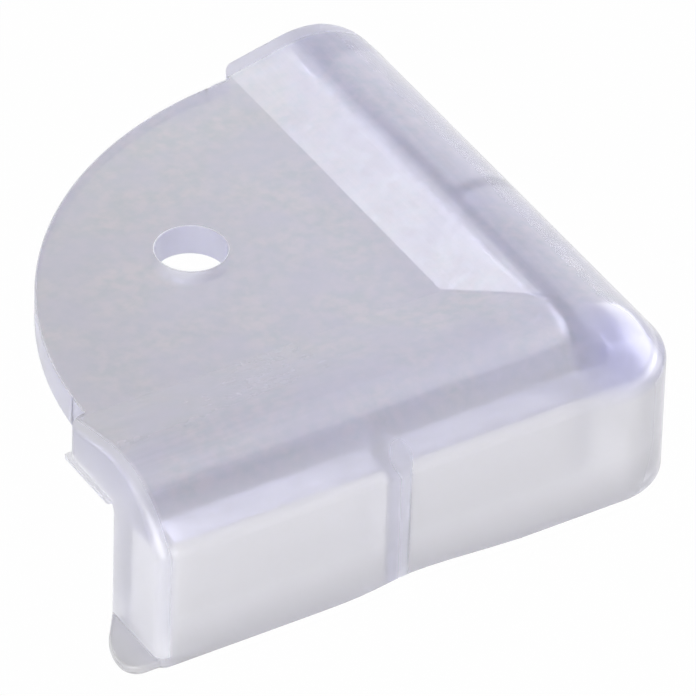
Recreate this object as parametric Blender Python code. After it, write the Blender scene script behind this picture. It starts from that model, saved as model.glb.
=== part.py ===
"""A screw-on corner protector for furniture, one soft clear moulding.

A flat screw plate with a quarter-round free edge lies on the furniture's top. Two arms of a
bumper run along the outer sides of the corner. Each arm has a crowned top, an outer wall, an
inner wall against the furniture, a closed end and one rib, and is hollow between its walls
and open underneath.

Plan positions are given by two lengths: "along" is the distance from the outer corner
measured along an arm, and "inset" is the distance in from that arm's outer face. Levels are
heights above the surface that the part stands on. The part is symmetrical about the diagonal
of the corner.
"""

import math

import bmesh
import bpy
from mathutils import Matrix, Vector

MM = 0.001

# Arms
ARM_LENGTH = 42.0 * MM
CORNER_RADIUS = 5.4 * MM
MITRE_RADIUS = 0.3 * MM
END_ROUNDING = 1.3 * MM

# Levels, measured from the plate's top face
BUMPER_DEPTH = 12.4 * MM
CREST_HEIGHT = 1.2 * MM
CHAMBER_CEILING = 3.6 * MM

# Crowned top of an arm
FOOT_INSET = 12.65 * MM
CREST_INSET = 6.5 * MM
CROWN_RADIUS = 6.6 * MM
OUTER_SLOPE = math.radians(52.0)

# Walls and rib
OUTER_WALL = 1.4 * MM
INNER_FACE_INSET = 6.2 * MM
INNER_WALL = 1.35 * MM
INNER_FILLET = 0.8 * MM
INNER_CORNER_RADIUS = 1.5 * MM
END_WALL = 1.5 * MM
RIB_ALONG = 23.0 * MM
RIB_THICKNESS = 1.4 * MM
CHAMBER_ROUNDING = 0.5 * MM

# Shallow rise of the bottom edge under each rib
BOTTOM_RISE = 0.6 * MM
RISE_ALONG = 22.0 * MM
RISE_TOWARDS_END = 3.2 * MM
RISE_TOWARDS_CORNER = 6.5 * MM

# Screw plate
PLATE_THICKNESS = 2.4 * MM
PLATE_REACH = 40.4 * MM
PLATE_ARC_INSET = 12.0 * MM
PLATE_EDGE_ROUNDING = 0.3 * MM
HOLE_DIAMETER = 5.0 * MM
HOLE_INSET = 25.0 * MM

# Thin lips that stick out past an arm's end
FOOT_LIP_REACH = 2.1 * MM
FOOT_LIP_TIP_WIDTH = 3.2 * MM
FOOT_LIP_WIDTH = 6.15 * MM
FOOT_LIP_SETBACK = 0.25 * MM
FOOT_LIP_THICKNESS = 0.7 * MM
FOOT_LIP_ROUNDING = 1.3 * MM
UNDER_LIP_REACH = 0.5 * MM
UNDER_LIP_DROP = 0.45 * MM
UNDER_LIP_SETBACK = 0.3 * MM

# How finely round stretches are divided
CORNER_STEPS = 14
CROWN_STEPS = 12
FILLET_STEPS = 7
ROUNDING_STEPS = 7
SMALL_ROUNDING_STEPS = 7
RIM_STEPS = 2
ARM_STEPS = 14
PLATE_ARC_STEPS = 40
HOLE_STEPS = 48
SMOOTH_ANGLE = math.radians(15.0)

# Derived places
REACH = ARM_LENGTH + FOOT_LIP_REACH
HALF = REACH / 2
PLATE_TOP = BUMPER_DEPTH
PLATE_UNDERSIDE = PLATE_TOP - PLATE_THICKNESS
CEILING = PLATE_TOP - CHAMBER_CEILING
CREST = PLATE_TOP + CREST_HEIGHT
CHAMBER_INSET = INNER_FACE_INSET - INNER_WALL
PLATE_RADIUS = PLATE_REACH - PLATE_ARC_INSET
OVERCUT = 1.0 * MM
TOLERANCE = 0.01 * MM


def corner_point(along, inset, level):
    """A point of the arm that lies along X, in world coordinates."""
    return Vector((HALF - along, inset - HALF, level))


def mirrored(point):
    """The same point of the other arm, across the corner's diagonal."""
    return Vector((-point.y, -point.x, point.z))


def arc(centre, radius, start, end, steps):
    """Points on a circular arc as (across, up) pairs, both ends included."""
    points = []
    for step in range(steps + 1):
        angle = start + (end - start) * step / steps
        points.append((centre[0] + radius * math.cos(angle), centre[1] + radius * math.sin(angle)))
    return points


def bottom_level(along):
    """Height of the bottom edge: level, with a soft rise under the rib."""
    offset = along - RISE_ALONG
    spread = RISE_TOWARDS_END if offset > 0 else RISE_TOWARDS_CORNER
    return BOTTOM_RISE * math.exp(-((offset / spread) ** 2))


def top_outline():
    """Crowned top from the foot of the inner slope to the outer face, as (inset, level)."""
    centre = (CREST_INSET, CREST - CROWN_RADIUS)
    run = FOOT_INSET - centre[0]
    rise = PLATE_TOP - centre[1]
    inner_angle = math.atan2(rise, run) + math.acos(CROWN_RADIUS / math.hypot(run, rise))
    outer_angle = math.pi / 2 + OUTER_SLOPE
    crown = arc(centre, CROWN_RADIUS, inner_angle, outer_angle, CROWN_STEPS)
    last = crown[-1]
    edge_level = last[1] - last[0] * math.tan(OUTER_SLOPE)
    return [(FOOT_INSET, PLATE_TOP)] + crown + [(0.0, edge_level)]


def inner_outline():
    """Inner face of the inner wall, filleted into the plate's underside."""
    centre = (INNER_FACE_INSET + INNER_FILLET, PLATE_UNDERSIDE - INNER_FILLET)
    return arc(centre, INNER_FILLET, math.pi, math.pi / 2, FILLET_STEPS)


def arm_section():
    """Closed outline of an arm, as (inset, level, follows the bottom edge)."""
    section = [(inset, level, False) for inset, level in top_outline()]
    section.append((0.0, 0.0, True))
    section.append((INNER_FACE_INSET, 0.0, True))
    section += [(inset, level, False) for inset, level in inner_outline()]
    section.append((FOOT_INSET, PLATE_UNDERSIDE, False))
    return section


def arm_stations():
    """Distances along an arm, from its end towards the corner."""
    start = ARM_LENGTH - END_ROUNDING
    stop = FOOT_INSET + 2 * MITRE_RADIUS
    return [start + (stop - start) * step / ARM_STEPS for step in range(ARM_STEPS + 1)]


def bend_radius(inset, level):
    """Plan radius of the bend: concentric outside, near sharp on top, eased on the inner wall."""
    least = INNER_CORNER_RADIUS if level < PLATE_UNDERSIDE else MITRE_RADIUS
    return max(CORNER_RADIUS - inset, least)


def bend_point(inset, level, turn):
    """A point of the bend round the corner; turn runs from 0 on one arm to 1 on the other."""
    radius = bend_radius(inset, level)
    centre = inset + radius
    angle = -math.pi / 2 + turn * math.pi / 2
    away = centre - radius * math.cos(angle)
    across = centre + radius * math.sin(angle)
    return corner_point(away, across, level)


def sweep_rings(section, stations):
    """Rings of points that carry a section along one arm, round the bend and along the other."""
    near = []
    for along in stations:
        ring = []
        for inset, level, on_bottom in section:
            ring.append(corner_point(along, inset, bottom_level(along) if on_bottom else level))
        near.append(ring)
    bend = []
    for step in range(CORNER_STEPS + 1):
        turn = step / CORNER_STEPS
        ring = []
        for inset, level, on_bottom in section:
            lift = bottom_level(stations[-1]) if on_bottom else level
            ring.append(bend_point(inset, lift, turn))
        bend.append(ring)
    far = [[mirrored(point) for point in ring] for ring in reversed(near)]
    return near + bend + far


def skin(rings):
    """A closed mesh through rings of equal length, with flat end faces."""
    mesh = bmesh.new()
    rows = [[mesh.verts.new(point) for point in ring] for ring in rings]
    count = len(rings[0])
    for row, following in zip(rows, rows[1:]):
        for index in range(count):
            after = (index + 1) % count
            mesh.faces.new((row[index], row[after], following[after], following[index]))
    ends = [mesh.faces.new(list(reversed(rows[0]))), mesh.faces.new(rows[-1])]
    return mesh, ends


def round_ends(mesh, ends):
    """Round over the rim of each end face by insetting it in steps along a quarter circle."""
    for end in ends:
        depth = 0.0
        width = 0.0
        for step in range(1, ROUNDING_STEPS + 1):
            angle = math.pi / 2 * step / ROUNDING_STEPS
            next_depth = END_ROUNDING * math.sin(angle)
            next_width = END_ROUNDING * (1 - math.cos(angle))
            bmesh.ops.inset_individual(
                mesh,
                faces=[end],
                thickness=next_width - width,
                depth=next_depth - depth,
                use_even_offset=True,
            )
            depth = next_depth
            width = next_width


def prism(outline, low, high):
    """A closed mesh with the given plan outline between two levels."""
    mesh = bmesh.new()
    base = mesh.faces.new([mesh.verts.new((point.x, point.y, low)) for point in outline])
    raised = bmesh.ops.extrude_face_region(mesh, geom=[base])
    moved = [item for item in raised["geom"] if isinstance(item, bmesh.types.BMVert)]
    bmesh.ops.translate(mesh, verts=moved, vec=(0, 0, high - low))
    bmesh.ops.recalc_face_normals(mesh, faces=mesh.faces)
    return mesh


def bevel_edges(mesh, chosen, width, steps):
    """Round the chosen edges of a mesh."""
    bmesh.ops.bevel(mesh, geom=chosen, offset=width, segments=steps, affect="EDGES", profile=0.5)


def upright_edges(mesh):
    """The edges of a mesh that stand upright."""
    chosen = []
    for edge in mesh.edges:
        run = edge.verts[0].co - edge.verts[1].co
        if abs(run.z) > TOLERANCE and math.hypot(run.x, run.y) < TOLERANCE:
            chosen.append(edge)
    return chosen


def add_object(name, mesh):
    """Turn a bmesh into a named object in the scene."""
    bmesh.ops.recalc_face_normals(mesh, faces=mesh.faces)
    data = bpy.data.meshes.new(name)
    mesh.to_mesh(data)
    mesh.free()
    item = bpy.data.objects.new(name, data)
    bpy.context.scene.collection.objects.link(item)
    return item


def as_tool(item):
    """Keep an object out of the finished part: it only shapes another one."""
    item.hide_render = True
    item.display_type = "WIRE"
    return item


def apply_tool(item, tool, operation):
    """Join a tool object to the part, or cut it away."""
    modifier = item.modifiers.new(tool.name, "BOOLEAN")
    modifier.operation = operation
    modifier.solver = "EXACT"
    modifier.object = tool


def make_arms():
    """Both arms as one solid bar bent round the corner, not yet hollow."""
    mesh, ends = skin(sweep_rings(arm_section(), arm_stations()))
    bmesh.ops.recalc_face_normals(mesh, faces=mesh.faces)
    round_ends(mesh, ends)
    return add_object("corner_protector", mesh)


def make_plate():
    """The screw plate, reaching well inside the arms, with its free edge rounded."""
    centre = PLATE_ARC_INSET
    buried = INNER_FACE_INSET + INNER_FILLET + OVERCUT
    outline = [corner_point(PLATE_REACH, buried, 0.0)]
    for away, across in arc((centre, centre), PLATE_RADIUS, 0.0, math.pi / 2, PLATE_ARC_STEPS):
        outline.append(corner_point(away, across, 0.0))
    outline.append(corner_point(buried, PLATE_REACH, 0.0))
    outline.append(corner_point(buried, buried, 0.0))
    mesh = prism(outline, PLATE_UNDERSIDE, PLATE_TOP)
    chord_middle = PLATE_RADIUS * math.cos(math.pi / 4 / PLATE_ARC_STEPS)
    rim = []
    for edge in mesh.edges:
        middle = (edge.verts[0].co + edge.verts[1].co) / 2
        outward = Vector((-middle.x + HALF - centre, middle.y + HALF - centre))
        level_edge = abs(edge.verts[0].co.z - edge.verts[1].co.z) < TOLERANCE
        on_arc = abs(outward.length - chord_middle) < TOLERANCE and min(outward) > 0
        if level_edge and on_arc:
            rim.append(edge)
    bevel_edges(mesh, rim, PLATE_EDGE_ROUNDING, RIM_STEPS)
    return as_tool(add_object("plate_blank", mesh))


def make_hole():
    """The screw hole, a straight round cut through the plate."""
    mesh = bmesh.new()
    place = corner_point(HOLE_INSET, HOLE_INSET, PLATE_TOP - PLATE_THICKNESS / 2)
    bmesh.ops.create_cone(
        mesh,
        cap_ends=True,
        segments=HOLE_STEPS,
        radius1=HOLE_DIAMETER / 2,
        radius2=HOLE_DIAMETER / 2,
        depth=PLATE_THICKNESS + 2 * OVERCUT,
        matrix=Matrix.Translation(place),
    )
    return as_tool(add_object("screw_hole", mesh))


def make_end_chamber(name, flip):
    """The hollow between an arm's end wall and its rib."""
    far = ARM_LENGTH - END_WALL
    near = RIB_ALONG + RIB_THICKNESS / 2
    corners = [
        corner_point(far, OUTER_WALL, 0.0),
        corner_point(near, OUTER_WALL, 0.0),
        corner_point(near, CHAMBER_INSET, 0.0),
        corner_point(far, CHAMBER_INSET, 0.0),
    ]
    outline = [mirrored(point) for point in corners] if flip else corners
    mesh = prism(outline, -OVERCUT, CEILING)
    bevel_edges(mesh, upright_edges(mesh), CHAMBER_ROUNDING, SMALL_ROUNDING_STEPS)
    return as_tool(add_object(name, mesh))


def make_corner_chamber():
    """The hollow that runs from one rib round the corner to the other."""
    start = RIB_ALONG - RIB_THICKNESS / 2
    section = [
        (OUTER_WALL, -OVERCUT, False),
        (OUTER_WALL, CEILING, False),
        (CHAMBER_INSET, CEILING, False),
        (CHAMBER_INSET, -OVERCUT, False),
    ]
    stop = max(CORNER_RADIUS, CHAMBER_INSET + INNER_CORNER_RADIUS) + MITRE_RADIUS
    mesh, _ends = skin(sweep_rings(section, [start, stop]))
    return as_tool(add_object("corner_chamber", mesh))


def make_foot_lip(name, flip):
    """The thin rounded lip at the bottom of an arm's closed end."""
    buried = ARM_LENGTH - END_WALL / 2
    tip = ARM_LENGTH + FOOT_LIP_REACH
    corners = [
        corner_point(buried, FOOT_LIP_SETBACK, 0.0),
        corner_point(tip, FOOT_LIP_SETBACK, 0.0),
        corner_point(tip, FOOT_LIP_TIP_WIDTH, 0.0),
        corner_point(ARM_LENGTH, FOOT_LIP_WIDTH, 0.0),
        corner_point(buried, FOOT_LIP_WIDTH, 0.0),
    ]
    outline = [mirrored(point) for point in corners] if flip else corners
    mesh = prism(outline, bottom_level(ARM_LENGTH), FOOT_LIP_THICKNESS)
    outer = []
    for edge in upright_edges(mesh):
        point = mirrored(edge.verts[0].co) if flip else edge.verts[0].co
        if HALF - point.x > ARM_LENGTH + FOOT_LIP_REACH / 2:
            outer.append(edge)
    bevel_edges(mesh, outer, FOOT_LIP_ROUNDING, SMALL_ROUNDING_STEPS)
    return as_tool(add_object(name, mesh))


def make_under_lip(name, flip):
    """The thin lip that hangs along the lower edge of an arm's end, inside the inner wall."""
    buried = ARM_LENGTH - END_ROUNDING
    tip = ARM_LENGTH + UNDER_LIP_REACH
    inner = INNER_FACE_INSET + UNDER_LIP_SETBACK
    outer = FOOT_INSET - UNDER_LIP_SETBACK
    corners = [
        corner_point(buried, inner, 0.0),
        corner_point(tip, inner, 0.0),
        corner_point(tip, outer, 0.0),
        corner_point(buried, outer, 0.0),
    ]
    outline = [mirrored(point) for point in corners] if flip else corners
    low = PLATE_UNDERSIDE - UNDER_LIP_DROP
    mesh = prism(outline, low, PLATE_UNDERSIDE + UNDER_LIP_DROP)
    bevel_edges(mesh, upright_edges(mesh), UNDER_LIP_REACH / 2, SMALL_ROUNDING_STEPS)
    return as_tool(add_object(name, mesh))


def clear_plastic():
    """Soft, slightly milky clear plastic."""
    material = bpy.data.materials.new("clear_plastic")
    material.use_nodes = True
    shader = material.node_tree.nodes["Principled BSDF"]
    shader.inputs["Base Color"].default_value = (0.60, 0.59, 0.66, 1.0)
    shader.inputs["Roughness"].default_value = 0.25
    shader.inputs["Metallic"].default_value = 0.0
    shader.inputs["Alpha"].default_value = 0.75
    return material


def clear_scene():
    """Remove whatever the file holds."""
    for item in list(bpy.data.objects):
        bpy.data.objects.remove(item, do_unlink=True)


def build():
    """Make the whole protector."""
    clear_scene()
    part = make_arms()
    for tool in (
        make_plate(),
        make_foot_lip("foot_lip_near", False),
        make_foot_lip("foot_lip_far", True),
        make_under_lip("under_lip_near", False),
        make_under_lip("under_lip_far", True),
    ):
        apply_tool(part, tool, "UNION")
    for tool in (
        make_end_chamber("end_chamber_near", False),
        make_end_chamber("end_chamber_far", True),
        make_corner_chamber(),
        make_hole(),
    ):
        apply_tool(part, tool, "DIFFERENCE")
    part.data.materials.append(clear_plastic())
    part.data.shade_smooth()
    part.data.set_sharp_from_angle(angle=SMOOTH_ANGLE)


build()
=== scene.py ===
"""Looks of a screw-on furniture corner protector, one soft clear moulding.

The moulding is modelled again at a finer grain than the frame's solid: the same walls, ribs,
chambers and lips, with true crowned tops, eased edges and a filleted foot. Lengths named "along"
run from the outer corner along an arm, "inset" is the distance in from that arm's outer face,
and levels are heights above the floor.
"""

import math

import bmesh
import bpy
from mathutils import Matrix, Quaternion, Vector


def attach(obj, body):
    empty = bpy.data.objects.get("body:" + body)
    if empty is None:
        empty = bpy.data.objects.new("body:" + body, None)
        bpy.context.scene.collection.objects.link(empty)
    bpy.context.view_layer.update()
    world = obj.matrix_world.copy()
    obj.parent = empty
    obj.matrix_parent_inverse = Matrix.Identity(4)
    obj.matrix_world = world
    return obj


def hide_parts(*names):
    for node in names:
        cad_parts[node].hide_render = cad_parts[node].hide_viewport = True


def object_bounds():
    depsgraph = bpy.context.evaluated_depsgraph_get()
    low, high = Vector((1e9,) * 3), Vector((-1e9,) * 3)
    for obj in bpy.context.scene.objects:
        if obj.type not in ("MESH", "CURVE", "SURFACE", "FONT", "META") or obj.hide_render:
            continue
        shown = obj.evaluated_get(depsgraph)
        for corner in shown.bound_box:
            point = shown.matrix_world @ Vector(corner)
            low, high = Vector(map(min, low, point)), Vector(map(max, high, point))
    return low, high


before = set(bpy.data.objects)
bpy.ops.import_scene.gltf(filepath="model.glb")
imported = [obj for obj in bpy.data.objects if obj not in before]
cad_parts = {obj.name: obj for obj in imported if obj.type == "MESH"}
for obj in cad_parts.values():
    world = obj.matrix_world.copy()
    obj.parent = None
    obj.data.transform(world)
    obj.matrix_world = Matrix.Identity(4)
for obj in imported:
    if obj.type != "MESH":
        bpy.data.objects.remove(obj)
CAD_LOW, CAD_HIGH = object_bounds()

MM = 0.001

# Arms
HALF = CAD_HIGH.x
CREST = CAD_HIGH.z
ARM_LENGTH = 42.0 * MM
CORNER_RADIUS = 5.4 * MM
MITRE_RADIUS = 0.3 * MM
FOOT_INSET = 12.65 * MM
FOOT_FILLET = 0.7 * MM
FOOT_REACH = 0.25 * MM
CREST_INSET = 6.5 * MM
CROWN_RADIUS = 6.6 * MM
OUTER_SLOPE = math.radians(52.0)
SHOULDER_ROUNDING = 1.15 * MM

# Rounding of an arm's end: down the outer wall, over the crown, on the other edges
END_WALL_ROUNDING = 0.9 * MM
END_CROWN_ROUNDING = 0.35 * MM
END_EDGE_ROUNDING = 0.12 * MM
END_CORNER_ROUNDING = 1.62 * MM
END_RINGS = 6
WALL_ROUNDING_INSET = 1.2 * MM
CROWN_ROUNDING_INSET = 4.5 * MM

# Levels
PLATE_TOP = 12.4 * MM
PLATE_THICKNESS = 2.4 * MM
PLATE_UNDERSIDE = PLATE_TOP - PLATE_THICKNESS
CEILING = 8.8 * MM

# Where the straight arm stops and its end starts to round over
END_START = ARM_LENGTH - END_WALL_ROUNDING - 0.05 * MM

# Walls and ribs
OUTER_WALL = 1.4 * MM
INNER_FACE_INSET = 6.2 * MM
CHAMBER_INSET = 4.85 * MM
CHAMBER_FILLET = 0.6 * MM
CHAMBER_END_ROUNDING = 0.45 * MM
INNER_FILLET = 0.8 * MM
INNER_CORNER_RADIUS = 1.5 * MM
END_WALL = 1.5 * MM
RIB_ALONG = 23.0 * MM
RIB_THICKNESS = 1.4 * MM

# Shallow rise of the bottom edge under each rib
BOTTOM_RISE = 0.6 * MM
RISE_ALONG = 22.0 * MM
RISE_TOWARDS_END = 3.2 * MM
RISE_TOWARDS_CORNER = 6.5 * MM

# Screw plate
PLATE_REACH = 40.4 * MM
PLATE_ARC_INSET = 12.0 * MM
PLATE_RADIUS = PLATE_REACH - PLATE_ARC_INSET
HOLE_RADIUS = 2.5 * MM
HOLE_INSET = 25.0 * MM

# Thin lips past an arm's end
FOOT_LIP_REACH = 2.1 * MM
FOOT_LIP_TIP_WIDTH = 3.2 * MM
FOOT_LIP_WIDTH = 6.15 * MM
FOOT_LIP_SETBACK = 0.25 * MM
FOOT_LIP_THICKNESS = 0.7 * MM
FOOT_LIP_ROUNDING = 1.3 * MM
UNDER_LIP_REACH = 0.28 * MM
UNDER_LIP_DROP = 0.24 * MM
UNDER_LIP_RISE = 0.05 * MM
UNDER_LIP_SETBACK = 0.3 * MM

EDGE_EASING = 0.12 * MM
LIP_EASING = 0.16 * MM
UNDER_LIP_EASING = 0.06 * MM
EASED_ANGLE = math.radians(38)
MERGE_DISTANCE = 0.002 * MM
TOLERANCE = 0.01 * MM
OVERCUT = 1.0 * MM

# Plastic
PLASTIC_CLEARNESS = 0.68
PLASTIC_COOL = (0.85, 0.885, 0.87, 1.0)
PLASTIC_WARM = (0.985, 0.945, 0.92, 1.0)
PLASTIC_LILAC = (0.89, 0.88, 0.95, 1.0)
PLASTIC_WALL = (0.96, 0.955, 0.935, 1.0)
# The low colour is painted shade on the walls towards the floor.
PLASTIC_LOW_SHADE = (0.72, 0.715, 0.71, 1.0)
# The faint colour is painted shade, laid on the top towards −X.
PLASTIC_SIDE_SHADE = (0.80, 0.79, 0.79, 1.0)
PLASTIC_STREAK = (0.955, 0.955, 0.965, 1.0)
PLASTIC_DEEP = (0.76, 0.76, 0.93, 1.0)
# The rim colour is the whiter matt skin of cut faces, partly a painted highlight, and the painted
# highlight beside the hole.
PLASTIC_CUT_AND_HIGHLIGHT = (1.0, 1.0, 0.985, 1.0)
MOTTLE_SCALE = 1100.0
CLOUD_SCALE = 260.0
STREAK_SCALE = 1700.0
STREAK_DEPTH = 0.016 * MM
WAVE_SCALE = 250.0
WAVE_DEPTH = 0.06 * MM
GRAIN_SCALE = 5000.0
GRAIN_DEPTH = 0.0008 * MM
RIM_HAZE = 0.4
FAR_END_LEAD = 0.5 * MM
SHADOW_TINT = (0.84, 0.84, 0.84, 1.0)

# Light
ROOM_LIGHT = 0.29
FLOOR_TO_CAMERA = 0.985
FLOOR_BY_GLASS = 0.1
FLOOR_IN_GLOSS = 0.7
KEY_FROM = Vector((-0.79, -0.6, 0.12))
KEY_POWER = 4.55
BACK_FROM = Vector((0.16, 0.64, 0.75))
BACK_POWER = 0.105
SIDE_FROM = Vector((1.0, 0.1, 0.1))
SIDE_POWER = 3.1

# Camera
VIEW_AZIMUTH = math.radians(31.729)
VIEW_ELEVATION = math.radians(37.472)
VIEW_ROLL = math.radians(1.818)
VIEW_DISTANCE = 727.9 * MM
VIEW_TARGET = Vector((1.05 * MM, -1.05 * MM, PLATE_TOP))
VIEW_RIGHT = 5.13 * MM
VIEW_DOWN = 5.87 * MM
VIEW_LENS = 554.7


def place(along, inset, level):
    """World position of a point of the arm that lies along X."""
    return Vector((HALF - along, inset - HALF, level))


def across(point):
    """The same place on the other arm, over the corner's diagonal."""
    return Vector((-point.y, -point.x, point.z))


def deselect_objects():
    """Nothing selected, so that the next operator acts on what it adds."""
    bpy.ops.object.select_all(action="DESELECT")


def edit():
    """Start editing the active mesh, with nothing picked."""
    bpy.ops.object.mode_set(mode="EDIT")
    bpy.ops.mesh.select_mode(type="VERT")
    bpy.ops.mesh.select_all(action="DESELECT")


def leave():
    """Go back to whole objects."""
    bpy.ops.object.mode_set(mode="OBJECT")


def pick_vertices(item, wanted):
    """Pick the vertices whose place passes a test, and nothing else."""
    bpy.ops.mesh.select_mode(type="VERT")
    bpy.ops.mesh.select_all(action="DESELECT")
    leave()
    for vertex in item.data.vertices:
        vertex.select = wanted(vertex.co)
    bpy.ops.object.mode_set(mode="EDIT")


def pick_edges(item, wanted):
    """Pick the edges whose two ends pass a test."""
    bpy.ops.mesh.select_mode(type="EDGE")
    bpy.ops.mesh.select_all(action="DESELECT")
    leave()
    points = item.data.vertices
    for edge in item.data.edges:
        edge.select = wanted(points[edge.vertices[0]].co, points[edge.vertices[1]].co)
    bpy.ops.object.mode_set(mode="EDIT")


def pick_faces(item, wanted):
    """Pick the faces that pass a test."""
    bpy.ops.mesh.select_mode(type="FACE")
    bpy.ops.mesh.select_all(action="DESELECT")
    leave()
    for face in item.data.polygons:
        face.select = wanted(face)
    bpy.ops.object.mode_set(mode="EDIT")


def near(value, goal):
    """Two lengths that are the same for modelling."""
    return abs(value - goal) < TOLERANCE


def draw_to(start, goal):
    """Extrude the picked vertex from one point to another."""
    bpy.ops.mesh.extrude_vertices_move(TRANSFORM_OT_translate={"value": goal - start})
    return goal


def sweep_round(start, centre, turn, steps):
    """Spin the picked vertex round a centre in the arm's section, and return where it ends."""
    bpy.ops.mesh.spin(steps=steps, angle=-turn, center=centre, axis=(1, 0, 0))
    return centre + Matrix.Rotation(turn, 3, "X") @ (start - centre)


def fillet(corner, before, after, radius):
    """Tangent points, centre and turn of a round drawn in the corner of two straight lines."""
    coming = (corner - before).normalized()
    going = (after - corner).normalized()
    turn = math.atan2(coming.y * going.z - coming.z * going.y, coming.y * going.y + coming.z * going.z)
    reach = radius * math.tan(abs(turn) / 2)
    start = corner - coming * reach
    side = Vector((0, -coming.z, coming.y)) * math.copysign(1, turn)
    return start, start + side * radius, turn


def draw_rounded(point, corner, following, radius, steps):
    """Lead the picked vertex up to a corner and round it, ready to go on to what follows."""
    start, centre, turn = fillet(corner, point, following, radius)
    draw_to(point, start)
    return sweep_round(start, centre, turn, steps)


def crown_ends():
    """Directions in which the crown's round begins and ends, seen from its centre."""
    run = FOOT_INSET - CREST_INSET
    rise = PLATE_TOP - (CREST - CROWN_RADIUS)
    inner = math.atan2(rise, run) + math.acos(CROWN_RADIUS / math.hypot(run, rise))
    return inner, math.pi / 2 + OUTER_SLOPE


def bottom_level(along):
    """Height of the bottom edge: level, with a soft rise under the rib."""
    offset = along - RISE_ALONG
    spread = RISE_TOWARDS_END if offset > 0 else RISE_TOWARDS_CORNER
    return BOTTOM_RISE * math.exp(-((offset / spread) ** 2))


def draw_section():
    """The arm's section as a flat face near its end, drawn by leading one vertex round."""
    inner, outer = crown_ends()
    centre = place(END_START, CREST_INSET, CREST - CROWN_RADIUS)
    crown_start = centre + CROWN_RADIUS * Vector((0, math.cos(inner), math.sin(inner)))
    crown_end = centre + CROWN_RADIUS * Vector((0, math.cos(outer), math.sin(outer)))
    drop = (crown_end.y + HALF) * math.tan(OUTER_SLOPE)
    shoulder = Vector((crown_end.x, -HALF, crown_end.z - drop))
    foot = place(END_START, FOOT_INSET, PLATE_TOP)
    plate_side = place(END_START, FOOT_INSET + FOOT_REACH, PLATE_TOP)
    bottom_outer = place(END_START, 0, 0)

    bpy.ops.mesh.primitive_plane_add(size=MM, location=plate_side)
    item = bpy.context.active_object
    bpy.ops.object.transform_apply()
    edit()
    bpy.ops.mesh.select_all(action="SELECT")
    bpy.ops.mesh.merge(type="CENTER")
    point = draw_rounded(plate_side, foot, crown_start, FOOT_FILLET, 4)
    point = draw_to(point, crown_start)
    point = sweep_round(point, centre, outer - inner, 26)
    point = draw_rounded(point, shoulder, bottom_outer, SHOULDER_ROUNDING, 8)
    point = draw_to(point, bottom_outer)
    point = draw_to(point, place(END_START, OUTER_WALL, 0))
    ceiling_outer = place(END_START, OUTER_WALL, CEILING)
    ceiling_inner = place(END_START, CHAMBER_INSET, CEILING)
    chamber_foot = place(END_START, CHAMBER_INSET, 0)
    point = draw_rounded(point, ceiling_outer, ceiling_inner, CHAMBER_FILLET, 6)
    point = draw_rounded(point, ceiling_inner, chamber_foot, CHAMBER_FILLET, 6)
    point = draw_to(point, chamber_foot)
    point = draw_to(point, place(END_START, INNER_FACE_INSET, 0))
    under_corner = place(END_START, INNER_FACE_INSET, PLATE_UNDERSIDE)
    under_side = place(END_START, FOOT_INSET + FOOT_REACH, PLATE_UNDERSIDE)
    point = draw_rounded(point, under_corner, under_side, INNER_FILLET, 6)
    point = draw_to(point, under_side)
    draw_to(point, plate_side)
    bpy.ops.mesh.select_all(action="SELECT")
    bpy.ops.mesh.remove_doubles(threshold=MERGE_DISTANCE)
    bpy.ops.mesh.edge_face_add()
    return item


def close_chamber(item, along):
    """Fill the chamber's mouth in the section at one place along the arm."""

    def on_mouth(point):
        inset = point.y + HALF
        in_width = OUTER_WALL - TOLERANCE < inset < CHAMBER_INSET + TOLERANCE
        return near(HALF - point.x, along) and in_width and point.z < CEILING + TOLERANCE

    pick_vertices(item, on_mouth)
    bpy.ops.mesh.edge_face_add()


def pick_section(item, along, with_chamber):
    """Pick the flat faces that end the bar at one place along the arm."""
    points = item.data.vertices

    def in_section(face):
        top = max(points[index].co.z for index in face.vertices)
        flat = all(near(HALF - points[index].co.x, along) for index in face.vertices)
        return flat and (with_chamber or top > CEILING + TOLERANCE)

    pick_faces(item, in_section)


def push_on(item, along, following):
    """Extrude the picked section along the arm and set its bottom edge at its level there."""
    bpy.ops.mesh.extrude_region_move(
        TRANSFORM_OT_translate={"value": (along - following, 0, 0)}
    )
    leave()
    old, new = bottom_level(along), bottom_level(following)
    for vertex in item.data.vertices:
        if near(HALF - vertex.co.x, following) and near(vertex.co.z, old):
            vertex.co.z = new
    bpy.ops.object.mode_set(mode="EDIT")


def bend_radius(inset, level):
    """Plan radius of the bend: concentric outside, near sharp on top, eased on inner walls."""
    on_walls = inset < INNER_FACE_INSET + INNER_FILLET + TOLERANCE
    below_plate = level < PLATE_UNDERSIDE + TOLERANCE
    least = INNER_CORNER_RADIUS if on_walls and below_plate else MITRE_RADIUS
    return max(CORNER_RADIUS - inset, least)


def turn_corner(item, along, steps):
    """Extrude the picked section round to the corner's diagonal, each point on its own round."""
    paths = []
    leave()
    for vertex in item.data.vertices:
        if vertex.select:
            inset = vertex.co.y + HALF
            radius = bend_radius(inset, vertex.co.z)
            paths.append((inset, vertex.co.z, radius))
    bpy.ops.object.mode_set(mode="EDIT")
    for step in range(steps + 1):
        bpy.ops.mesh.extrude_region_move(TRANSFORM_OT_translate={"value": (0, 0, 0)})
        angle = math.pi / 4 * step / steps
        leave()
        moving = [vertex for vertex in item.data.vertices if vertex.select]
        for vertex, (inset, level, radius) in zip(moving, paths):
            centre = inset + radius
            vertex.co = place(
                centre - radius * math.sin(angle), centre - radius * math.cos(angle), level
            )
        bpy.ops.object.mode_set(mode="EDIT")
    bpy.ops.mesh.delete(type="ONLY_FACE")


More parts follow.
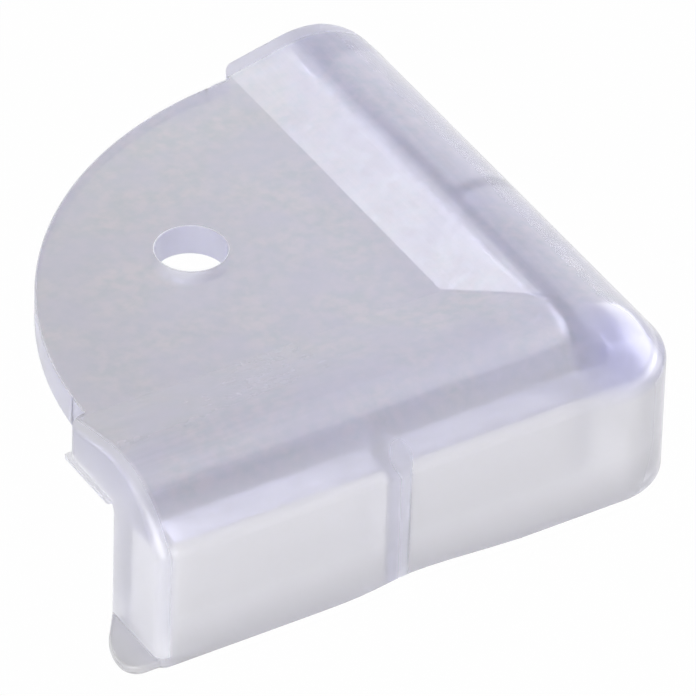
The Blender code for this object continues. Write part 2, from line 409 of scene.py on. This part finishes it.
def model_arms():
    """Both arms: one is drawn out from its end to the corner, then mirrored over the diagonal."""
    item = draw_section()
    close_chamber(item, END_START)
    rib_outer = RIB_ALONG + RIB_THICKNESS / 2
    rib_inner = RIB_ALONG - RIB_THICKNESS / 2
    bend_start = FOOT_INSET + FOOT_REACH + MITRE_RADIUS + 0.4 * MM
    stretches = (
        (END_START, ARM_LENGTH - END_WALL, 1, True),
        (ARM_LENGTH - END_WALL, rib_outer, 12, False),
        (rib_outer, rib_inner, 1, True),
        (rib_inner, bend_start, 6, False),
    )
    for begin, end, steps, solid in stretches:
        if solid and begin < END_START:
            close_chamber(item, begin)
        for step in range(steps):
            along = begin + (end - begin) * step / steps
            following = begin + (end - begin) * (step + 1) / steps
            pick_section(item, along, solid)
            push_on(item, along, following)
        if solid and begin < END_START:
            close_chamber(item, begin)
    pick_section(item, bend_start, False)
    turn_corner(item, bend_start, 14)
    leave()

    round_chamber_ends(item, (ARM_LENGTH - END_WALL, rib_outer, rib_inner))
    round_arm_end(item)
    bpy.ops.object.empty_add(rotation=(0, 0, math.pi / 4))
    diagonal = bpy.context.active_object
    bpy.context.view_layer.objects.active = item
    mirror = item.modifiers.new("other_arm", "MIRROR")
    mirror.mirror_object = diagonal
    mirror.merge_threshold = MERGE_DISTANCE
    bpy.ops.object.modifier_apply(modifier=mirror.name)
    bpy.data.objects.remove(diagonal)
    edit()
    bpy.ops.mesh.select_all(action="SELECT")
    bpy.ops.mesh.normals_make_consistent(inside=False)
    leave()
    return item


def round_chamber_ends(item, places):
    """Ease the corners where each chamber meets the end wall and the rib."""
    edit()

    def round_mouth(first, second):
        for point in (first, second):
            inset = point.y + HALF
            in_width = OUTER_WALL - TOLERANCE < inset < CHAMBER_INSET + TOLERANCE
            if not in_width or point.z > CEILING + TOLERANCE:
                return False
        at_end = any(near(HALF - first.x, along) for along in places)
        on_floor = first.z < 1.0 * MM and second.z < 1.0 * MM
        return at_end and near(first.x, second.x) and not on_floor

    pick_edges(item, round_mouth)
    bpy.ops.mesh.bevel(
        offset=CHAMBER_END_ROUNDING, segments=4, affect="EDGES", clamp_overlap=False
    )
    leave()


def edge_rounding(middle, inward):
    """How far one edge of the end's outline rounds over."""
    inset = middle.y + HALF
    under_plate = inset > INNER_FACE_INSET - TOLERANCE and middle.z < PLATE_UNDERSIDE + TOLERANCE
    if inward.z > 0.5 or under_plate or near(inset, FOOT_INSET + FOOT_REACH):
        return END_EDGE_ROUNDING
    share = (CROWN_ROUNDING_INSET - inset) / (CROWN_ROUNDING_INSET - WALL_ROUNDING_INSET)
    share = min(max(share, 0), 1)
    return END_CROWN_ROUNDING + (END_WALL_ROUNDING - END_CROWN_ROUNDING) * share


def pull_in(sides):
    """The move that draws an outline's vertex in from each of its edges by that edge's rounding."""
    (first, first_round), (second, second_round) = sides
    across_both = first.y * second.z - first.z * second.y
    if abs(across_both) < 0.05:
        return (first * first_round + second * second_round) / 2
    return Vector(
        (
            0,
            (first_round * second.z - second_round * first.z) / across_both,
            (second_round * first.y - first_round * second.y) / across_both,
        )
    )


def measure_outline(item):
    """For each picked vertex: where it starts, its move in at the rim and its rounding."""
    shape = bmesh.from_edit_mesh(item.data)
    sides = {vertex.index: [] for vertex in shape.verts if vertex.select}
    for face in shape.faces:
        for loop in face.loops if face.select else ():
            if sum(other.select for other in loop.edge.link_faces) == 1:
                start, goal = loop.vert.co, loop.link_loop_next.vert.co
                inward = face.normal.cross(goal - start).normalized()
                rounding = edge_rounding((start + goal) / 2, inward)
                for vertex in loop.edge.verts:
                    sides[vertex.index].append((inward, rounding))
    shape.verts.ensure_lookup_table()
    paths = []
    for index, pairs in sorted(sides.items()):
        move = pull_in(pairs) if len(pairs) == 2 else Vector()
        rounding = max((rounding for _, rounding in pairs), default=END_EDGE_ROUNDING)
        paths.append((shape.verts[index].co.copy(), move, rounding))
    return paths


def place_on_ring(path, angle):
    """Where one vertex of the outline lies when the end has rounded over by an angle."""
    start, move, rounding = path
    spot = start + move * (1 - math.cos(angle))
    spot.x = HALF - ARM_LENGTH + rounding * (1 - math.sin(angle))
    return spot


def round_arm_end(item):
    """Extrude the section out to the arm's end, drawn in ring by ring."""
    edit()
    pick_section(item, END_START, True)
    paths = measure_outline(item)
    spots = [start for start, _, _ in paths]
    for ring in range(END_RINGS + 1):
        angle = math.pi / 2 * ring / END_RINGS
        bpy.ops.mesh.extrude_region_move(TRANSFORM_OT_translate={"value": (0, 0, 0)})
        leave()
        following = [place_on_ring(path, angle) for path in paths]
        for vertex in [vertex for vertex in item.data.vertices if vertex.select]:
            distances = [(spot - vertex.co).length for spot in spots]
            nearest = distances.index(min(distances))
            vertex.co = following[nearest]
        spots = following
        bpy.ops.object.mode_set(mode="EDIT")
    leave()


def round_end_corners(item):
    """Round each end's upright corner on the plate's side, as seen from above."""
    radius = END_CORNER_ROUNDING
    side = FOOT_INSET + FOOT_REACH
    low = place(ARM_LENGTH + OVERCUT, side - radius, PLATE_UNDERSIDE - OVERCUT)
    high = place(ARM_LENGTH - radius, side + OVERCUT, CREST + OVERCUT)
    cutter = model_block(low, high)
    deselect_objects()
    middle = place(ARM_LENGTH - radius, side - radius, (low.z + high.z) / 2)
    bpy.ops.mesh.primitive_cylinder_add(
        vertices=64, radius=radius, depth=high.z - low.z + 2 * OVERCUT, location=middle
    )
    bpy.ops.object.transform_apply()
    combine(cutter, bpy.context.active_object, "DIFFERENCE")
    other = flip_to_other_arm(cutter)
    combine(item, cutter, "DIFFERENCE")
    combine(item, other, "DIFFERENCE")


def model_plate():
    """The screw plate: a disc cut back to a quarter that reaches into both arms, with its hole."""
    middle = place(PLATE_ARC_INSET, PLATE_ARC_INSET, PLATE_TOP - PLATE_THICKNESS / 2)
    deselect_objects()
    bpy.ops.mesh.primitive_cylinder_add(
        vertices=256, radius=PLATE_RADIUS, depth=PLATE_THICKNESS, location=middle
    )
    item = bpy.context.active_object
    bpy.ops.object.transform_apply()
    cut_place = place(CHAMBER_INSET + 3 * MM, CHAMBER_INSET + 3 * MM, 0)
    edit()
    for normal in ((0, -1, 0), (1, 0, 0)):
        bpy.ops.mesh.select_all(action="SELECT")
        bpy.ops.mesh.bisect(
            plane_co=cut_place,
            plane_no=normal,
            use_fill=True,
            clear_outer=True,
            threshold=MERGE_DISTANCE,
        )
    leave()
    deselect_objects()
    bpy.ops.mesh.primitive_cylinder_add(
        vertices=96,
        radius=HOLE_RADIUS,
        depth=PLATE_THICKNESS + 2 * OVERCUT,
        location=place(HOLE_INSET, HOLE_INSET, PLATE_TOP - PLATE_THICKNESS / 2),
    )
    bpy.ops.object.transform_apply()
    combine(item, bpy.context.active_object, "DIFFERENCE")
    return item


def combine(item, tool, operation):
    """Join a tool object to the moulding or cut it away, and remove the tool."""
    deselect_objects()
    bpy.context.view_layer.objects.active = item
    item.select_set(True)
    modifier = item.modifiers.new("combine", "BOOLEAN")
    modifier.operation = operation
    modifier.solver = "EXACT"
    modifier.object = tool
    bpy.ops.object.modifier_apply(modifier=modifier.name)
    bpy.data.objects.remove(tool)
    edit()
    bpy.ops.mesh.select_all(action="SELECT")
    bpy.ops.mesh.remove_doubles(threshold=MERGE_DISTANCE)
    bpy.ops.mesh.select_all(action="DESELECT")
    leave()


def model_block(corner_low, corner_high):
    """A cube drawn out between two corners."""
    deselect_objects()
    bpy.ops.mesh.primitive_cube_add(size=1, location=(corner_low + corner_high) / 2)
    item = bpy.context.active_object
    item.scale = [abs(value) for value in corner_high - corner_low]
    bpy.ops.object.transform_apply()
    return item


def model_foot_lip():
    """The thin rounded lip at the bottom of the arm's end."""
    tip = ARM_LENGTH + FOOT_LIP_REACH
    low = place(tip, FOOT_LIP_SETBACK, bottom_level(ARM_LENGTH))
    high = place(ARM_LENGTH - END_WALL / 2, FOOT_LIP_WIDTH, FOOT_LIP_THICKNESS)
    item = model_block(low, high)
    slope = Vector((FOOT_LIP_TIP_WIDTH - FOOT_LIP_WIDTH, FOOT_LIP_REACH, 0)).normalized()
    edit()
    bpy.ops.mesh.select_all(action="SELECT")
    bpy.ops.mesh.bisect(
        plane_co=place(tip, FOOT_LIP_TIP_WIDTH, 0),
        plane_no=slope,
        use_fill=True,
        clear_outer=True,
        threshold=MERGE_DISTANCE,
    )

    def on_tip(first, second):
        upright = near(first.x, second.x) and near(first.y, second.y)
        return upright and HALF - first.x > ARM_LENGTH + FOOT_LIP_REACH / 2

    pick_edges(item, on_tip)
    bpy.ops.mesh.bevel(offset=FOOT_LIP_ROUNDING, segments=8, affect="EDGES")
    leave()
    ease_edges(item, LIP_EASING, on_any_edge)
    return item


def model_under_lip():
    """The thin lip under the arm's end, between the inner wall and the plate."""
    low = place(ARM_LENGTH + UNDER_LIP_REACH, INNER_FACE_INSET + UNDER_LIP_SETBACK, 0)
    high = place(ARM_LENGTH - END_WALL / 2, FOOT_INSET - UNDER_LIP_SETBACK, 0)
    low.z = PLATE_UNDERSIDE - UNDER_LIP_DROP
    high.z = PLATE_UNDERSIDE + UNDER_LIP_RISE
    item = model_block(low, high)
    edit()

    def upright(first, second):
        return near(first.x, second.x) and near(first.y, second.y)

    pick_edges(item, upright)
    bpy.ops.mesh.bevel(offset=0.8 * UNDER_LIP_REACH, segments=4, affect="EDGES")
    leave()
    ease_edges(item, UNDER_LIP_EASING, on_any_edge)
    return item


def flip_to_other_arm(item):
    """A lip's copy for the other arm, mirrored over the diagonal in its own mesh."""
    deselect_objects()
    item.select_set(True)
    bpy.context.view_layer.objects.active = item
    bpy.ops.object.duplicate()
    other = bpy.context.active_object
    for vertex in other.data.vertices:
        vertex.co = across(vertex.co)
    edit()
    bpy.ops.mesh.select_all(action="SELECT")
    bpy.ops.mesh.flip_normals()
    leave()
    return other


def on_any_edge(point):
    """Every place on a piece that is eased all round."""
    return True


def off_the_lips(point):
    """A place clear of the thin lips, eased already, and of the fine corner by the plate's rim."""
    for spot in (point, across(point)):
        past_end = HALF - spot.x > ARM_LENGTH - END_EDGE_ROUNDING
        low_down = spot.z < FOOT_LIP_THICKNESS + EDGE_EASING
        under = abs(spot.z - PLATE_UNDERSIDE) < UNDER_LIP_DROP + EDGE_EASING
        if past_end and (low_down or under):
            return False
        at_rim = HALF - spot.x > PLATE_REACH - EDGE_EASING
        if at_rim and spot.y + HALF > FOOT_INSET - END_CORNER_ROUNDING:
            return False
    return True


def ease_edges(item, amount, eased_at):
    """Take the sharpness off the outer edges that a mould leaves."""
    edit()
    bpy.ops.mesh.select_mode(type="EDGE")
    shape = bmesh.from_edit_mesh(item.data)
    for edge in shape.edges:
        sharp = edge.is_convex and edge.calc_face_angle(0) > EASED_ANGLE
        edge.select = sharp and all(eased_at(vertex.co) for vertex in edge.verts)
    bmesh.update_edit_mesh(item.data)
    bpy.ops.mesh.bevel(offset=amount, segments=3, affect="EDGES", clamp_overlap=False)
    leave()


def model_protector():
    """The whole moulding: arms, plate and lips joined, then its edges eased."""
    deselect_objects()
    item = model_arms()
    item.name = "clear_protector"
    item.data.name = "clear_protector"
    round_end_corners(item)
    combine(item, model_plate(), "UNION")
    for lip in (model_foot_lip(), model_under_lip()):
        other = flip_to_other_arm(lip)
        combine(item, lip, "UNION")
        combine(item, other, "UNION")
    deselect_objects()
    item.select_set(True)
    bpy.context.view_layer.objects.active = item
    ease_edges(item, EDGE_EASING, off_the_lips)
    bpy.ops.object.shade_smooth_by_angle(angle=math.radians(35))
    weighted = item.modifiers.new("flat_faces", "WEIGHTED_NORMAL")
    weighted.keep_sharp = True
    bpy.ops.object.modifier_apply(modifier=weighted.name)
    return item


def noise(tree, source, scale, detail=2.0, stretch=(1, 1, 1)):
    """A cloud pattern on the object's own coordinates, finer or longer along an axis."""
    mapping = tree.nodes.new("ShaderNodeMapping")
    mapping.inputs["Scale"].default_value = stretch
    cloud = tree.nodes.new("ShaderNodeTexNoise")
    cloud.inputs["Scale"].default_value = scale
    cloud.inputs["Detail"].default_value = detail
    tree.links.new(source, mapping.inputs["Vector"])
    tree.links.new(mapping.outputs["Vector"], cloud.inputs["Vector"])
    return cloud.outputs["Fac"]


def spread(tree, value, low, high, start=0.35, stop=0.65):
    """A pattern's middle stretch laid out between two values."""
    node = tree.nodes.new("ShaderNodeMapRange")
    node.inputs["From Min"].default_value = start
    node.inputs["From Max"].default_value = stop
    node.inputs["To Min"].default_value = low
    node.inputs["To Max"].default_value = high
    tree.links.new(value, node.inputs["Value"])
    return node.outputs["Result"]


def blend(tree, share, first, second):
    """Two colours or patterns mixed by a mask."""
    node = tree.nodes.new("ShaderNodeMix")
    node.data_type = "RGBA"
    tree.links.new(share, node.inputs["Factor"])
    for socket, value in ((node.inputs["A"], first), (node.inputs["B"], second)):
        if isinstance(value, tuple):
            socket.default_value = value
        else:
            tree.links.new(value, socket)
    return node.outputs["Result"]


def math_node(tree, operation, first, second):
    """The result of one sum on a pattern and a number or another pattern."""
    node = tree.nodes.new("ShaderNodeMath")
    node.operation = operation
    for socket, value in ((node.inputs[0], first), (node.inputs[1], second)):
        if isinstance(value, float):
            socket.default_value = value
        else:
            tree.links.new(value, socket)
    return node.outputs[0]


def distance_mask(tree, spot, centre, start, stop):
    """How far a place lies from an upright axis: 0 at the start, 1 at the stop."""
    offset = tree.nodes.new("ShaderNodeVectorMath")
    offset.operation = "SUBTRACT"
    offset.inputs[1].default_value = centre
    tree.links.new(spot, offset.inputs[0])
    flat = tree.nodes.new("ShaderNodeVectorMath")
    flat.operation = "MULTIPLY"
    flat.inputs[1].default_value = (1, 1, 0)
    tree.links.new(offset.outputs["Vector"], flat.inputs[0])
    reach = tree.nodes.new("ShaderNodeVectorMath")
    reach.operation = "LENGTH"
    tree.links.new(flat.outputs["Vector"], reach.inputs[0])
    return spread(tree, reach.outputs["Value"], 0.0, 1.0, start, stop)


def end_mask(tree, x, y, start, stop):
    """How near a place is to an arm's end, by two distances along the arm along X."""
    far_reach = math_node(tree, "ADD", y, FAR_END_LEAD)
    reach = math_node(tree, "MAXIMUM", math_node(tree, "MULTIPLY", x, -1.0), far_reach)
    return spread(tree, reach, 0.0, 1.0, start - HALF, stop - HALF)


def relief(tree, height, depth, under=None):
    """A bump from a pattern, laid over another one where there is one."""
    bump = tree.nodes.new("ShaderNodeBump")
    bump.inputs["Distance"].default_value = depth
    tree.links.new(height, bump.inputs["Height"])
    if under:
        tree.links.new(under, bump.inputs["Normal"])
    return bump.outputs["Normal"]


def clear_plastic():
    """Soft clear plastic with a lilac depth, a mottled skin, fine streaks along its arms, and painted
    shade and highlights in its colour.
    """
    material = bpy.data.materials.new("clear_plastic")
    material.use_nodes = True
    tree = material.node_tree
    shader = tree.nodes["Principled BSDF"]
    shader.inputs["IOR"].default_value = 1.48
    shader.inputs["Transmission Weight"].default_value = PLASTIC_CLEARNESS
    shader.inputs["Coat Weight"].default_value = 0.4
    shader.inputs["Coat Roughness"].default_value = 0.2
    spot = tree.nodes.new("ShaderNodeTexCoord").outputs["Object"]
    parts = tree.nodes.new("ShaderNodeSeparateXYZ")
    tree.links.new(spot, parts.inputs["Vector"])
    x, y, z = parts.outputs

    # Where the surface is: on top, on the crowns, low down, on which arm, on rims and ribs
    on_top = spread(tree, z, 0.0, 1.0, PLATE_TOP - 1.4 * MM, PLATE_TOP - 0.1 * MM)
    on_slope = spread(tree, z, 0.0, 1.0, 8.5 * MM, 10.0 * MM)
    on_crown = spread(tree, z, 0.0, 1.0, PLATE_TOP, PLATE_TOP + 0.2 * MM)
    # Painted shade low down: 0 at the floor, 1 from 4 mm up.
    out_of_low_shade = spread(tree, z, 0.0, 1.0, 0.0, 4.0 * MM)
    above_lip = spread(tree, z, 0.0, 1.0, FOOT_LIP_THICKNESS, FOOT_LIP_THICKNESS + 0.2 * MM)
    other_arm = spread(tree, math_node(tree, "ADD", x, y), 0.0, 1.0, -0.2 * MM, 0.2 * MM)
    # Painted shade on the top: deepest towards −X, fading out towards +X.
    shade_fades = spread(tree, x, 0.0, 1.0, -15.0 * MM, 10.0 * MM)
    hole = place(HOLE_INSET, HOLE_INSET, 0)
    arc = place(PLATE_ARC_INSET, PLATE_ARC_INSET, 0)
    off_hole = distance_mask(tree, spot, hole, HOLE_RADIUS + 0.05 * MM, HOLE_RADIUS + 0.2 * MM)
    on_rim = distance_mask(tree, spot, arc, PLATE_RADIUS - 0.2 * MM, PLATE_RADIUS - 0.05 * MM)
    inset = math_node(tree, "MINIMUM", y, math_node(tree, "MULTIPLY", x, -1.0))
    plate_side = FOOT_INSET + FOOT_REACH - HALF
    off_arms = spread(tree, inset, 0.0, 1.0, plate_side, plate_side + 0.1 * MM)
    at_end = end_mask(tree, x, y, ARM_LENGTH - 1.1 * MM, ARM_LENGTH - 0.7 * MM)
    at_end = math_node(tree, "MULTIPLY", at_end, above_lip)
    # Cut faces (the plate's rim, the hole's wall, the arms' end faces, the strips by the ribs) get a
    # rougher matt skin; their whiter colour is partly painted highlight, so that they read bright.
    cut = math_node(tree, "MULTIPLY", on_rim, off_arms)
    cut = math_node(tree, "MAXIMUM", cut, math_node(tree, "SUBTRACT", 1.0, off_hole))
    cut = math_node(tree, "MAXIMUM", cut, at_end)
    rib = place(RIB_ALONG, OUTER_WALL / 2, 0)
    for middle in (rib, across(rib)):
        off_rib = distance_mask(tree, spot, middle, RIB_THICKNESS / 2, 0.7 * RIB_THICKNESS)
        cut = math_node(tree, "MAXIMUM", cut, math_node(tree, "SUBTRACT", 1.0, off_rib))

    # Flow of the plastic: fine threads along each arm
    lengthwise = noise(tree, spot, STREAK_SCALE, 3.0, (0.04, 1.0, 1.0))
    crosswise = noise(tree, spot, STREAK_SCALE, 3.0, (1.0, 0.04, 1.0))
    flow = blend(tree, other_arm, lengthwise, crosswise)
    drawn = math_node(tree, "MULTIPLY", spread(tree, other_arm, 0.3, 1.0, 0.0, 1.0), on_crown)

    # Colour: mottled on top, even on the walls, with painted shade low down and on the top towards −X,
    # a painted highlight beside the hole, and whiter matt cut faces that are partly painted highlight
    mottle = noise(tree, spot, MOTTLE_SCALE, 4.0)
    mottled = blend(tree, spread(tree, mottle, 0.0, 1.0), PLASTIC_COOL, PLASTIC_WARM)
    cloud = spread(tree, noise(tree, spot, CLOUD_SCALE, 2.0), 0.0, 0.7)
    mottled = blend(tree, cloud, mottled, PLASTIC_LILAC)
    shaded = tree.nodes.new("ShaderNodeMix")
    shaded.data_type = "RGBA"
    shaded.blend_type = "MULTIPLY"
    shaded.inputs["Factor"].default_value = 1.0
    tree.links.new(mottled, shaded.inputs["A"])
    white = (1.0, 1.0, 1.0, 1.0)
    # Painted shade on the top towards −X, multiplied into the mottle.
    side_shade = blend(tree, shade_fades, PLASTIC_SIDE_SHADE, white)
    threads = math_node(tree, "MULTIPLY", spread(tree, flow, 0.0, 1.0), drawn)
    tree.links.new(blend(tree, threads, side_shade, PLASTIC_STREAK), shaded.inputs["B"])
    # Painted shade: the walls are darker low down, towards the floor.
    wall = blend(tree, out_of_low_shade, PLASTIC_LOW_SHADE, PLASTIC_WALL)
    body = blend(tree, on_top, wall, shaded.outputs["Result"])
    # Painted highlight: a whiter patch on the plate's top beside the hole, where the hole's wall shows
    # through bright.
    hole_highlight_centre = place(HOLE_INSET + 1.7 * MM, HOLE_INSET - 1.7 * MM, 0)
    off_hole_highlight = distance_mask(tree, spot, hole_highlight_centre, 0.9 * MM, 2.1 * MM)
    hole_highlight = math_node(tree, "MULTIPLY", math_node(tree, "SUBTRACT", 1.0, off_hole_highlight), on_top)
    body = blend(tree, hole_highlight, body, PLASTIC_CUT_AND_HIGHLIGHT)
    off_corner = distance_mask(tree, spot, place(4.5 * MM, 2.0 * MM, 0), 1.5 * MM, 4.5 * MM)
    deep = math_node(tree, "MULTIPLY", math_node(tree, "SUBTRACT", 1.0, off_corner), on_slope)
    body = blend(tree, deep, body, PLASTIC_DEEP)
    # Cut faces whitened: a matt skin that is partly painted highlight.
    tree.links.new(blend(tree, cut, body, PLASTIC_CUT_AND_HIGHLIGHT), shader.inputs["Base Color"])

    haze = spread(tree, mottle, 0.18, 0.25)
    rough = math_node(tree, "MAXIMUM", haze, math_node(tree, "MULTIPLY", cut, RIM_HAZE))
    tree.links.new(rough, shader.inputs["Roughness"])

    # Relief: broad waves, fine grain, and streaks along the crowns
    streaks = math_node(tree, "MULTIPLY", math_node(tree, "SUBTRACT", flow, 0.5), drawn)
    skin = relief(tree, noise(tree, spot, WAVE_SCALE, 1.0), WAVE_DEPTH)
    skin = relief(tree, streaks, STREAK_DEPTH, skin)
    skin = relief(tree, noise(tree, spot, GRAIN_SCALE, 2.0), GRAIN_DEPTH, skin)
    tree.links.new(skin, shader.inputs["Normal"])

    output = tree.nodes["Material Output"]
    absorb = tree.nodes.new("ShaderNodeVolumeAbsorption")
    absorb.inputs["Color"].default_value = (0.745, 0.745, 0.9, 1.0)
    absorb.inputs["Density"].default_value = 180.0
    tree.links.new(absorb.outputs["Volume"], output.inputs["Volume"])

    passing = tree.nodes.new("ShaderNodeBsdfTransparent")
    passing.inputs["Color"].default_value = SHADOW_TINT
    path = tree.nodes.new("ShaderNodeLightPath")
    lit_through = tree.nodes.new("ShaderNodeMixShader")
    tree.links.new(path.outputs["Is Shadow Ray"], lit_through.inputs[0])
    tree.links.new(shader.outputs["BSDF"], lit_through.inputs[1])
    tree.links.new(passing.outputs["BSDF"], lit_through.inputs[2])
    tree.links.new(lit_through.outputs["Shader"], output.inputs["Surface"])
    return material


def white_share(tree, to_camera, by_glass, in_gloss):
    """How white a surface looks straight to the camera, through glass and in gloss."""
    path = tree.nodes.new("ShaderNodeLightPath")
    through = path.outputs["Is Transmission Ray"]
    mirrored = math_node(tree, "SUBTRACT", path.outputs["Is Glossy Ray"], through)
    mirrored = math_node(tree, "MAXIMUM", mirrored, 0.0)
    straight = math_node(tree, "MULTIPLY", path.outputs["Is Camera Ray"], to_camera)
    seen_through = math_node(tree, "MULTIPLY", through, by_glass)
    glossy = math_node(tree, "MULTIPLY", mirrored, in_gloss)
    return math_node(tree, "ADD", math_node(tree, "ADD", straight, seen_through), glossy)


def white_floor():
    """A plain white surface that keeps the object's shadow."""
    deselect_objects()
    bpy.ops.mesh.primitive_plane_add(size=1.6, location=(0, 0, CAD_LOW.z))
    floor = bpy.context.active_object
    floor.name = "floor"
    material = bpy.data.materials.new("white_floor")
    material.use_nodes = True
    tree = material.node_tree
    shader = tree.nodes["Principled BSDF"]
    shader.inputs["Base Color"].default_value = (0.8, 0.8, 0.8, 1.0)
    shader.inputs["Roughness"].default_value = 0.9
    glow = tree.nodes.new("ShaderNodeEmission")
    glow.inputs["Strength"].default_value = 1.0
    mix = tree.nodes.new("ShaderNodeMixShader")
    tree.links.new(white_share(tree, FLOOR_TO_CAMERA, FLOOR_BY_GLASS, FLOOR_IN_GLOSS), mix.inputs[0])
    tree.links.new(shader.outputs[0], mix.inputs[1])
    tree.links.new(glow.outputs[0], mix.inputs[2])
    tree.links.new(mix.outputs[0], tree.nodes["Material Output"].inputs["Surface"])
    floor.data.materials.append(material)


def white_room():
    """Even light from all round, plain white where it is seen past the floor."""
    world = bpy.data.worlds.new("white_room")
    bpy.context.scene.world = world
    world.use_nodes = True
    tree = world.node_tree
    tree.nodes.clear()
    output = tree.nodes.new("ShaderNodeOutputWorld")
    room = tree.nodes.new("ShaderNodeBackground")
    room.inputs["Color"].default_value = (1.0, 1.0, 1.0, 1.0)
    room.inputs["Strength"].default_value = ROOM_LIGHT
    backdrop = tree.nodes.new("ShaderNodeBackground")
    backdrop.inputs["Color"].default_value = (1.0, 1.0, 1.0, 1.0)
    mix = tree.nodes.new("ShaderNodeMixShader")
    tree.links.new(white_share(tree, 1.0, 1.0, 1.0), mix.inputs[0])
    tree.links.new(room.outputs[0], mix.inputs[1])
    tree.links.new(backdrop.outputs[0], mix.inputs[2])
    tree.links.new(mix.outputs[0], output.inputs["Surface"])


def softbox(name, direction, distance, size, power):
    """A square lamp that faces the object from one direction."""
    away = direction.normalized() * distance
    deselect_objects()
    bpy.ops.object.light_add(type="AREA", location=VIEW_TARGET + away)
    lamp = bpy.context.active_object
    lamp.name = name
    lamp.data.name = name
    lamp.data.size = size
    lamp.data.energy = power
    lamp.rotation_mode = "QUATERNION"
    lamp.rotation_quaternion = (-away).to_track_quat("-Z", "Y")


def set_camera():
    """The camera at the photograph's angle, far off with a long lens."""
    back = Vector(
        (
            -math.sin(VIEW_AZIMUTH) * math.cos(VIEW_ELEVATION),
            -math.cos(VIEW_AZIMUTH) * math.cos(VIEW_ELEVATION),
            math.sin(VIEW_ELEVATION),
        )
    )
    spot = VIEW_TARGET + back * VIEW_DISTANCE
    level = (-back).to_track_quat("-Z", "Y")
    rolled = level @ Quaternion((0, 0, 1), VIEW_ROLL)
    aim = VIEW_TARGET + rolled @ Vector((VIEW_RIGHT, -VIEW_DOWN, 0))
    deselect_objects()
    bpy.ops.object.camera_add(location=spot)
    camera = bpy.context.active_object
    camera.rotation_mode = "QUATERNION"
    camera.rotation_quaternion = (aim - spot).to_track_quat("-Z", "Y") @ Quaternion(
        (0, 0, 1), VIEW_ROLL
    )
    camera.data.lens = VIEW_LENS
    camera.data.sensor_width = 36
    camera.data.clip_start = 0.05
    camera.data.clip_end = 10
    bpy.context.scene.camera = camera


protector = model_protector()
protector.data.materials.clear()
protector.data.materials.append(clear_plastic())
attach(protector, "root")
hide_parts("corner_protector")

white_floor()
white_room()
softbox("key_softbox", KEY_FROM, 0.6, 0.5, KEY_POWER)
softbox("back_softbox", BACK_FROM, 0.5, 0.08, BACK_POWER)
softbox("side_softbox", SIDE_FROM, 0.5, 0.6, SIDE_POWER)
set_camera()
bpy.context.scene.view_settings.view_transform = "Standard"
